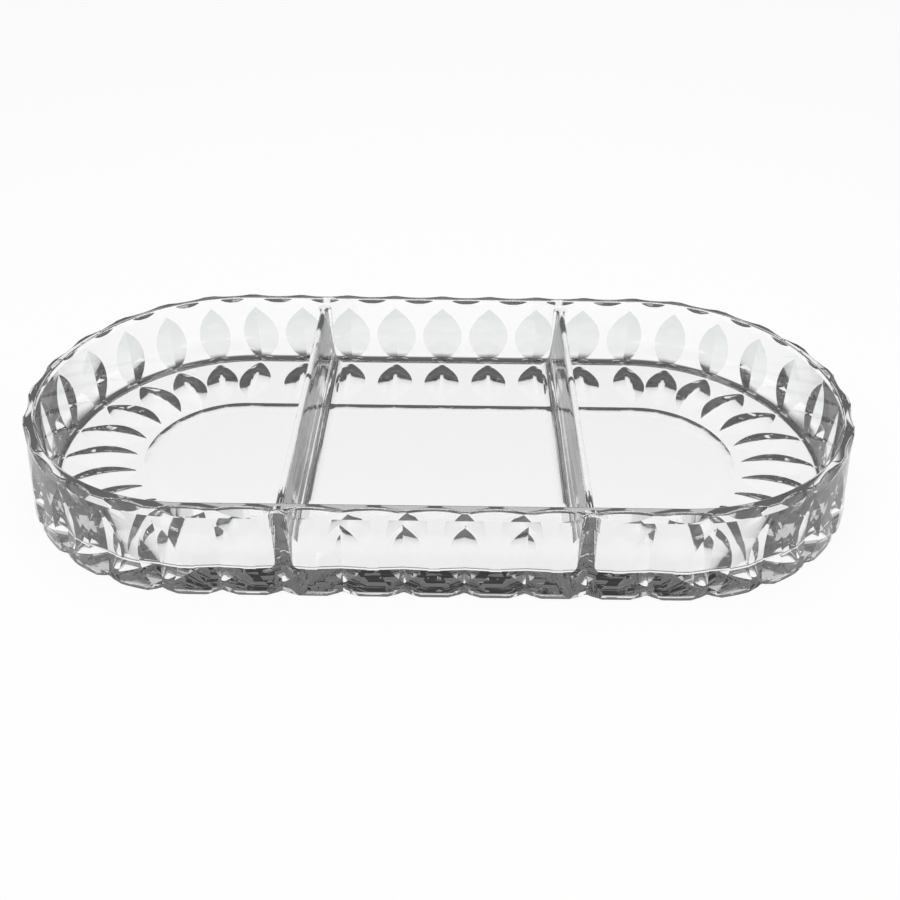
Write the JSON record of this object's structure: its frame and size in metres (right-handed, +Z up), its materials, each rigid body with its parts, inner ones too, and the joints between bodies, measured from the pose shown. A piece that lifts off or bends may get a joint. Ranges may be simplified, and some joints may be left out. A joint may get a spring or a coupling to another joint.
{
  "type": "relish tray",
  "caption": "Oval clear pressed glass relish tray with leaf-cut walls and two cross dividers that make open compartments.",
  "frame": {"origin": "on the underside, at the centre of the tray's outline", "axes": "+X along the long side to the right, +Y to the far side, +Z up out of the compartments"},
  "size_m": [0.308, 0.148, 0.034],
  "materials": {
    "glass": "clear, polished"
  },
  "bodies": {
    "root": {"floor": "glass", "wall": "glass", "left_divider": "glass", "right_divider": "glass"}
  },
  "joints": []
}
